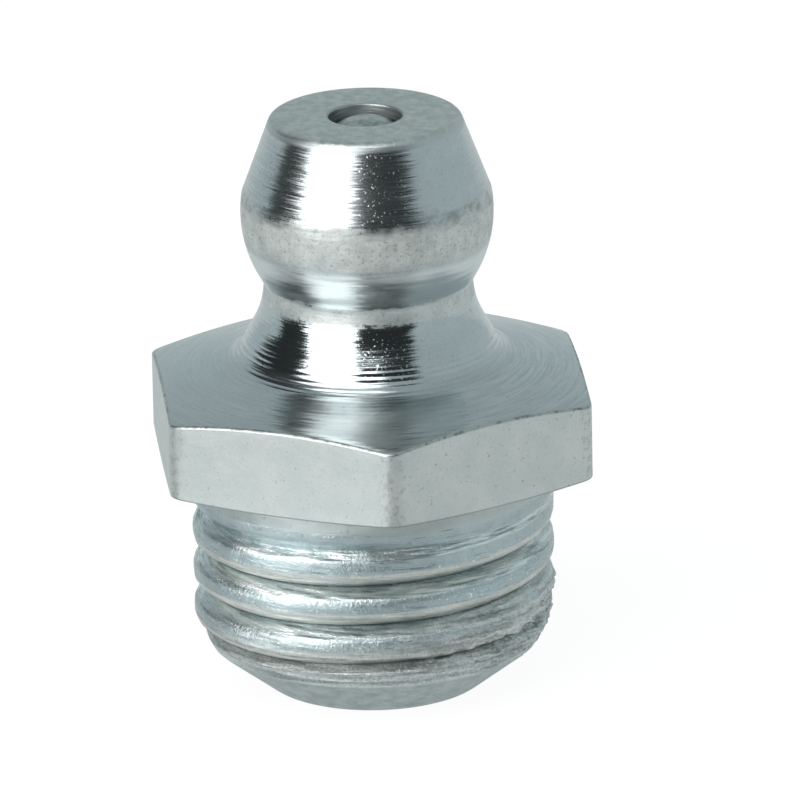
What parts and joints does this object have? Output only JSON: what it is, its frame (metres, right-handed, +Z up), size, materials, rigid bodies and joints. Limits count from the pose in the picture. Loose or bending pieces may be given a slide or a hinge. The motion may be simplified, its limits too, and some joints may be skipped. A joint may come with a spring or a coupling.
{
  "type": "grease nipple",
  "caption": "Straight grease nipple: ball head with inlet, hexagon for a spanner, threaded shank, and a sprung check ball inside.",
  "frame": {"origin": "centre of the threaded end face", "axes": "+Z up the nipple's axis to its head; two corners of the hexagon on the X axis"},
  "size_m": [0.0124, 0.0108, 0.0152],
  "materials": {
    "plated_steel": "bright zinc plating over turned and rolled steel",
    "ball_steel": "ground ball",
    "spring_steel": "drawn wire"
  },
  "bodies": {
    "nipple": {"nipple_body": "plated_steel", "return_spring": "spring_steel"},
    "ball": {"check_ball": "ball_steel"}
  },
  "joints": [
    {"name": "ball_slide", "type": "slide", "parent": "nipple", "child": "ball", "axis": [0, 0, 1], "range_m": [-0.001, 0], "stiffness_N_per_m": 750, "springref_m": 0.0005, "deforming": ["return_spring"]}
  ]
}
